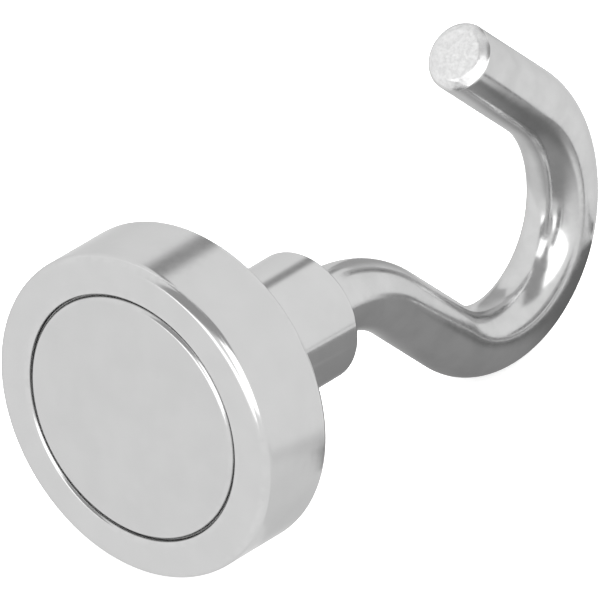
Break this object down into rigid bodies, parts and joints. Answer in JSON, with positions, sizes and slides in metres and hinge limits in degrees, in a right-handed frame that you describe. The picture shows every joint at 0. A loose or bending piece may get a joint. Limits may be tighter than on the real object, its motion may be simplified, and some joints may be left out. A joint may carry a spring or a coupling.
{
  "type": "magnetic hook",
  "caption": "Small round pot magnet with a turned threaded stem and a bent-rod open hook that screws into it, for hanging light things from a steel surface.",
  "frame": {"origin": "centre of the magnet's contact face, on the axis of the pot, stem and thread", "axes": "+Y from the contact face along the axis to the hook, +Z the way the hook's tip points, +X to the right; the contact face looks along -Y"},
  "size_m": [0.02, 0.041, 0.0224],
  "materials": {
    "pot_plating": "bright nickel plate on mild steel, polished",
    "magnet_plating": "bright nickel plate on sintered neodymium magnet, slightly satin",
    "adhesive": "dark grey cured epoxy",
    "bush_plating": "bright nickel plate on turned steel",
    "thread_lock": "cured anaerobic thread lock",
    "hook_plating": "bright nickel plate on bent steel rod, with a rough cut tip face"
  },
  "bodies": {
    "magnet": {"steel_pot": "pot_plating", "disc_magnet": "magnet_plating", "adhesive_bond": "adhesive", "threaded_bush": "bush_plating"},
    "thread_carrier": {"thread_lock_ring": "thread_lock"},
    "hook": {"screw_hook": "hook_plating"}
  },
  "joints": [
    {"name": "hook_advance", "type": "slide", "parent": "magnet", "child": "thread_carrier", "axis": [0, 1, 0], "range_m": [0, 0.00683]},
    {"name": "hook_turn", "type": "hinge", "parent": "thread_carrier", "child": "hook", "pos_m": [0, 0.012, 0], "axis": [0, 1, 0], "range_deg": [0, 3510]}
  ],
  "couplings": [
    {"joint": "hook_advance", "follows": "hook_turn", "m_per_rad": 0.00011141}
  ]
}
